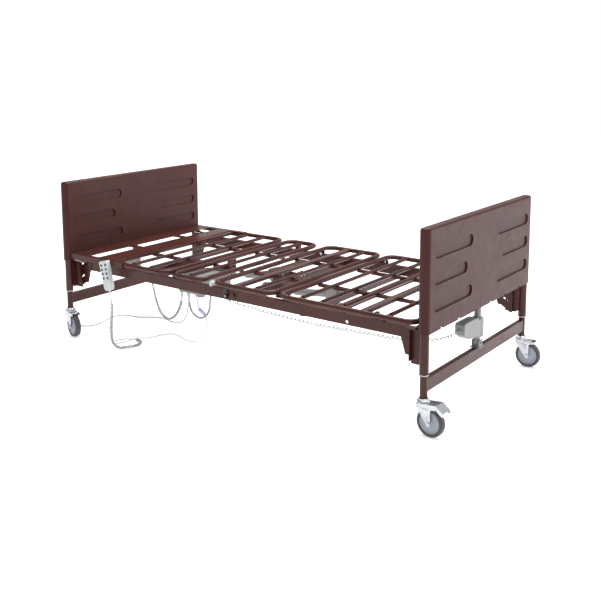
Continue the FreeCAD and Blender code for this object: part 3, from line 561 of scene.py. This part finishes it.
def make_reliefs():
    """Strain reliefs: place, direction, widest and narrowest radius and length of each."""
    pale, grey = (PALE, "pale_plastic"), (GREY, "grey_plastic")
    down, to_near = (0, 0, -1), (0, -1, 0)
    out_of_handset = (0.2395, 0, -0.9709)
    for name, place, way, wide, narrow, length, finish, body in (
            ("head_motor", LOOP_SMALL[0], down, 0.0085, 0.0042, 0.042, pale, "frame"),
            ("back_motor", LOOP_LARGE[0], down, 0.0085, 0.0042, 0.042, pale, "frame"),
            ("handset", UPPER_LEAD[-1], down, 0.006, 0.0032, 0.026, pale, "frame"),
            ("foot_motor", FOOT_CORD[0], (1, 0, 0), 0.008, 0.0036, 0.034, pale, "frame"),
            ("mains", MAINS_CORD[0], (-1, 0, 0), 0.007, 0.0036, 0.034, pale, "frame"),
            ("pendant", (-774.7, -533, 321.5), out_of_handset, 0.0055, 0.0032, 0.028, pale, "frame"),
            ("foot_end", (1135, -190, 364), to_near, 0.008, 0.0034, 0.030, grey, "foot_leg_set"),
            ("head_end", (-1135, -190, 364), to_near, 0.008, 0.0034, 0.030, grey, "head_leg_set")):
        relief("relief_" + name, mm(*place), way, wide, narrow, length, *finish, body)


make_cords()
make_reliefs()


# ---------------------------------------------------------------- casters
# The wheel's middle in millimetres: its trail behind the leg, and its radius above the floor.
AXLE = Vector((38, 0, 63.5))
LEG = Vector((0, 0, 0))


def caster_frame(corner):
    """Moves points given along the trail, across it and up from the floor, in millimetres."""
    x = POST_X if corner.startswith("foot") else -POST_X
    y = POST_Y if corner.endswith("left") else -POST_Y
    turn = Matrix.Rotation(math.radians(CORNERS[corner]), 4, "Z")
    return Matrix.Translation(Vector((x, y, 0)) + SHIFT) @ turn @ Matrix.Scale(0.001, 4)


def mirrored_profile(half):
    """A lathe profile from one side's (radius, distance from the middle) points."""
    return [(r, -d) for r, d in half] + [(r, d) for r, d in reversed(half)]


def make_wheel(corner, place):
    """A rounded tyre on a dished hub with a raised boss and rim."""
    tread = [(47.6, 12.5), (48.2, 14.6), (50.5, 15.6), (57.5, 15.8), (60.8, 14.2), (62.7, 10.5), (63.4, 5.0)]
    tyre = lathe(bmesh.new(), mirrored_profile(tread) + [(47.6, -12.5)], AXLE, (0, 1, 0), 72)
    hub_side = [(5.1, 18.6), (8.5, 18.6), (9.5, 17.6), (14.5, 17.2), (16.0, 15.8), (17.0, 12.8),
                (38.0, 12.4), (39.2, 13.6), (42.2, 13.9), (42.8, 12.9), (43.8, 12.9), (44.4, 13.9),
                (47.4, 13.7), (48.0, 12.0)]
    hub = lathe(bmesh.new(), mirrored_profile(hub_side), AXLE, (0, 1, 0), 72)
    for mesh in (tyre, hub):
        mesh.transform(place)
        bmesh.ops.recalc_face_normals(mesh, faces=mesh.faces)
    body = corner + "_roller"
    made = piece(corner + "_tyre", tyre, TYRE, body)
    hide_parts(corner + "_wheel")
    piece(corner + "_hub", hub, HUB, body)


def make_fork(corner, place):
    """Pressed fork with a domed swivel head, axle nuts and a dark seal under the leg."""
    side = [(-25, 140), (-26, 131), (-20, 122), (26, 60), (29, 53), (33.5, 49.6), (38, 48.6), (42.5, 49.6),
            (46, 53), (47, 59), (47, 117), (49, 122), (54, 125), (70, 127), (73, 130), (72, 137), (66, 140)]
    mesh = bmesh.new()
    for s in (-1, 1):
        prism(mesh, [Vector((a, s * 21, z)) for a, z in side], (0, s * 3, 0), 0.9)
        rib = [(-14, 127), (22, 78), (30, 72), (36, 78), (36, 116), (30, 124)]
        prism(mesh, [Vector((a, s * 23.6, z)) for a, z in rib], (0, s * 1.3, 0), 0.8)
    block(mesh, (-25, -24, 136.5), (58, 24, 140.4), 1.6)
    head = [(0, 139), (27.5, 139), (28.6, 140.5), (28.6, 143), (27.6, 144), (27.6, 145.5), (28.2, 146.2),
            (27.6, 149.5), (24.5, 153.2), (21.5, 154.4), (21.0, 158.4), (19.0, 160.4), (14, 161.4), (0, 161.4)]
    lathe(mesh, head, LEG, (0, 0, 1), 56)
    for s in (-1, 1):
        lathe(mesh, [(0, 24), (10.5, 24), (10.5, 25.4), (7.4, 25.6), (7.2, 29.4), (0, 29.9)],
              AXLE, (0, s, 0), 24)
        lathe(mesh, [(4.5, 29.4), (4.5, 31), (0, 31.2)], AXLE, (0, s, 0), 12)
    lathe(mesh, [(0, 0), (5, 0), (5, 40), (0, 40)], AXLE - Vector((0, 20, 0)), (0, 1, 0), 20)
    lathe(mesh, [(0, 160), (14.3, 160), (14.3, 200), (0, 200)], LEG, (0, 0, 1), 24)
    if corner == "foot_right":  # the lock pedal's hinge pin
        lathe(mesh, [(0, 0), (3, 0), (3, 62), (0, 62)], Vector((6, -31, 136.5)), (0, 1, 0), 16)
    mesh.transform(place)
    bmesh.ops.recalc_face_normals(mesh, faces=mesh.faces)
    body = corner + "_swivel"
    made = piece(corner + "_fork_shell", mesh, ZINC, body, 32)
    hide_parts(corner + "_fork")
    seal = lathe(bmesh.new(), [(14.4, 158.5), (18.6, 158.5), (19.2, 159.5), (19.2, 161.3), (14.4, 161.3)],
                 LEG, (0, 0, 1), 40)
    if corner == "foot_left":  # its brake shoe
        block(seal, (50, -18, 128.4), (70, 18, 136.6), 2.5)
    seal.transform(place)
    piece(corner + "_seal", seal, BLACK, body, 32)


def make_casters():
    for corner in CORNERS:
        place = caster_frame(corner)
        make_wheel(corner, place)
        make_fork(corner, place)


make_casters()


# ---------------------------------------------------------------- small fittings
SIDES = ((-1, "right"), (1, "left"))


def make_rail_fittings():
    """The latches' covers and the bosses beside them, on the rails' outer faces."""
    for s, side in SIDES:
        ring = [(3.6, 0), (13.4, 0), (13.4, 7.4), (12.2, 8.6), (5.0, 8.6), (3.6, 7.2), (3.6, 0)]
        cover = lathe_mm(bmesh.new(), ring, mm(7, s * 473.5, 404), (0, s, 0), 40)
        arm = [(-4, 440), (18, 440), (20, 430), (18, 402), (-4, 402), (-6, 420)]
        prism(cover, [mm(x, s * 474.5, z) for x, z in arm], (0, s * 0.0035, 0), 0.0012)
        piece("latch_cover_" + side, cover, BLACK, "latch_" + side, 32)
        cap = [(0, 0), (14.6, 0), (14.6, 5.5), (13.2, 7.4), (6.0, 8.0), (5.6, 7.2), (0, 7.2)]
        boss = lathe_mm(bmesh.new(), cap, mm(51, s * 470, 411), (0, s, 0), 40)
        piece("rail_boss_" + side, boss, BROWN, "frame", 32)


def make_hooks():
    """Zinc strip over the head-end brackets, two hook bolts in each bracket plate."""
    strip = [(-1107, 438), (-1107, 441), (-1095, 442.4), (-1083, 447.4), (-1071, 442.4), (-1034, 441),
             (-1029, 433), (-1032.5, 431), (-1037, 438)]
    bolt = [(0, 0), (6.5, 0), (6.5, 3.6), (5.4, 4.8), (0, 5.2)]
    for s, side in SIDES:
        hook = prism(bmesh.new(), [mm(x, s * 474.4, z) for x, z in strip], (0, s * 0.0325, 0), 0.0007)
        piece("head_hook_" + side, hook, ZINC, "frame", 32)
        for end, towards in (("foot", 1), ("head", -1)):
            studs = bmesh.new()
            for x, z in ((1067, 409), (1070, 338)):
                lathe_mm(studs, bolt, mm(towards * x, s * 482.5, z), (0, -s, 0), 24)
            piece(end + "_studs_" + side, studs, ZINC, "frame", 32)


def make_calf_plugs():
    """Black end plugs of the calf section's cross tube."""
    plug = [(0, 0), (10.5, 0), (12.5, 2), (12.5, 14), (9.0, 16), (8.6, 12), (0, 12)]
    for s, side in SIDES:
        mesh = lathe_mm(bmesh.new(), plug, mm(855, s * 424, 451), (0, s, 0), 32)
        piece("calf_plug_" + side, mesh, BLACK, "calf_section", 32)


def make_spare_clevis():
    """A bright two-eared bracket with its pin, on the frame's cross tube."""
    mesh = bmesh.new()
    ear = [(70, 413.2), (106, 413.2), (104, 428), (96, 439), (82, 439), (72, 428)]
    for y in (22, 46):
        prism(mesh, [mm(x, y, z) for x, z in ear], (0, 0.0035, 0), 0.0008)
    pin = [(0, 0), (7.5, 0), (7.5, 4.6), (4.6, 5), (4.6, 42), (7.5, 42.4), (7.5, 47), (0, 47)]
    lathe_mm(mesh, pin, mm(88, 12.5, 428), (0, 1, 0), 6)
    piece("spare_clevis", mesh, CHROME, "frame", 32)


def make_welds():
    """Weld beads where the slats at these x meet their section's loop. Two slats are wider."""
    wide_slats = (92, 820)
    for section, body, slats in (("back", "back_section", (-655, -525)), ("seat", "frame", (-238,)),
                                 ("thigh", "thigh_section", (92, 197)),
                                 ("calf", "calf_section", (470, 585, 705, 820, 940))):
        mesh = bmesh.new()
        for x in slats:
            half = 19 if x in wide_slats else 13
            bead = [(0, -half), (2.2, -half + 1.5), (2.9, -half / 2), (2.4, 0), (2.9, half / 2),
                    (2.2, half - 1.5), (0, half)]
            for s in (-1, 1):
                lathe_mm(mesh, bead, mm(x, s * 490.6, 472.5), (1, 0, 0), 10)
        piece(section + "_welds", mesh, BROWN, body, 60)


make_rail_fittings()
make_hooks()
make_calf_plugs()
make_spare_clevis()
make_welds()


# ---------------------------------------------------------------- stage and lights
FLOOR_SIZE, FLOOR_Z, FLOOR_GLOW = 14.0, -0.0005, 0.42
# How far from the bed's middle the floor's band of narrow strips starts and ends, and how many strips.
FLOOR_START, FLOOR_END, FLOOR_STEPS = 0.5, 0.95, 30


def make_stage():
    """A flat white floor in two halves, cut into narrow strips between FLOOR_START and
    FLOOR_END from the bed's middle."""
    n = Nodes("floor_white")
    base = n.mix(n.ramp(n.noise(0.8), 0.3, 0.7), (0.90, 0.90, 0.90), (0.92, 0.92, 0.92))
    n.set(Base_Color=base, Roughness=0.85, Specular_IOR_Level=0.1, Emission_Strength=FLOOR_GLOW)
    n.shader.inputs["Emission Color"].default_value = (1, 1, 1, 1)
    slope = [FLOOR_START + (FLOOR_END - FLOOR_START) * k / FLOOR_STEPS for k in range(FLOOR_STEPS + 1)]
    columns = [0.0] + slope + [FLOOR_SIZE]
    for half, sign in (("head", -1), ("foot", 1)):
        data = bpy.data.meshes.new("floor_" + half)
        mesh = bmesh.new()
        rows = [[mesh.verts.new((sign * x, -sign * y, FLOOR_Z)) for y in (FLOOR_SIZE, -FLOOR_SIZE)]
                for x in columns]
        for near, far in zip(rows, rows[1:]):
            mesh.faces.new((near[0], far[0], far[1], near[1])).smooth = True
        mesh.to_mesh(data)
        mesh.free()
        floor = link("floor_" + half, data)
        data.materials.append(n.mat)
        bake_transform(floor)


SURROUND, SURROUND_SEEN = 0.60, 1.25
SUN_ENERGY, SUN_ANGLE, SUN_WAY = 1.9, 60, (-0.10, -0.16, -1)


def area_light(name, place, target, size, power, colour=(1, 1, 1)):
    """A soft rectangular light at a place, aimed at a target."""
    data = bpy.data.lights.new(name, "AREA")
    data.shape = "RECTANGLE"
    data.size, data.size_y = size
    data.energy = power
    data.color = colour
    obj = link(name, data)
    obj.location = place
    obj.rotation_euler = (Vector(target) - Vector(place)).to_track_quat("-Z", "Y").to_euler()


def make_lights():
    """A dim white surround that the camera sees as pure white, a soft sun and two soft lights."""
    world = bpy.data.worlds.new("studio")
    bpy.context.scene.world = world
    world.use_nodes = True
    tree = world.node_tree
    shade = tree.nodes["Background"]
    shade.inputs["Color"].default_value = (1, 1, 1, 1)
    shade.inputs["Strength"].default_value = SURROUND
    white = tree.nodes.new("ShaderNodeBackground")
    white.inputs["Strength"].default_value = SURROUND_SEEN
    seen = tree.nodes.new("ShaderNodeLightPath")
    mixed = tree.nodes.new("ShaderNodeMixShader")
    tree.links.new(seen.outputs["Is Camera Ray"], mixed.inputs["Fac"])
    tree.links.new(shade.outputs[0], mixed.inputs[1])
    tree.links.new(white.outputs[0], mixed.inputs[2])
    tree.links.new(mixed.outputs[0], tree.nodes["World Output"].inputs["Surface"])
    data = bpy.data.lights.new("key", "SUN")
    data.energy = SUN_ENERGY
    data.angle = math.radians(SUN_ANGLE)
    sun = link("key", data)
    sun.rotation_euler = Vector(SUN_WAY).to_track_quat("-Z", "Y").to_euler()
    area_light("overhead", (0.0, 0.9, 3.0), (0, 0.1, 0.4), (3.4, 1.0), 85)
    area_light("far_side", (5.6, 4.6, 1.0), (1.1, 0, 0.6), (2.6, 2.4), 130, (0.92, 0.96, 1.0))


make_stage()
make_lights()
bpy.context.scene.view_settings.view_transform = "Standard"
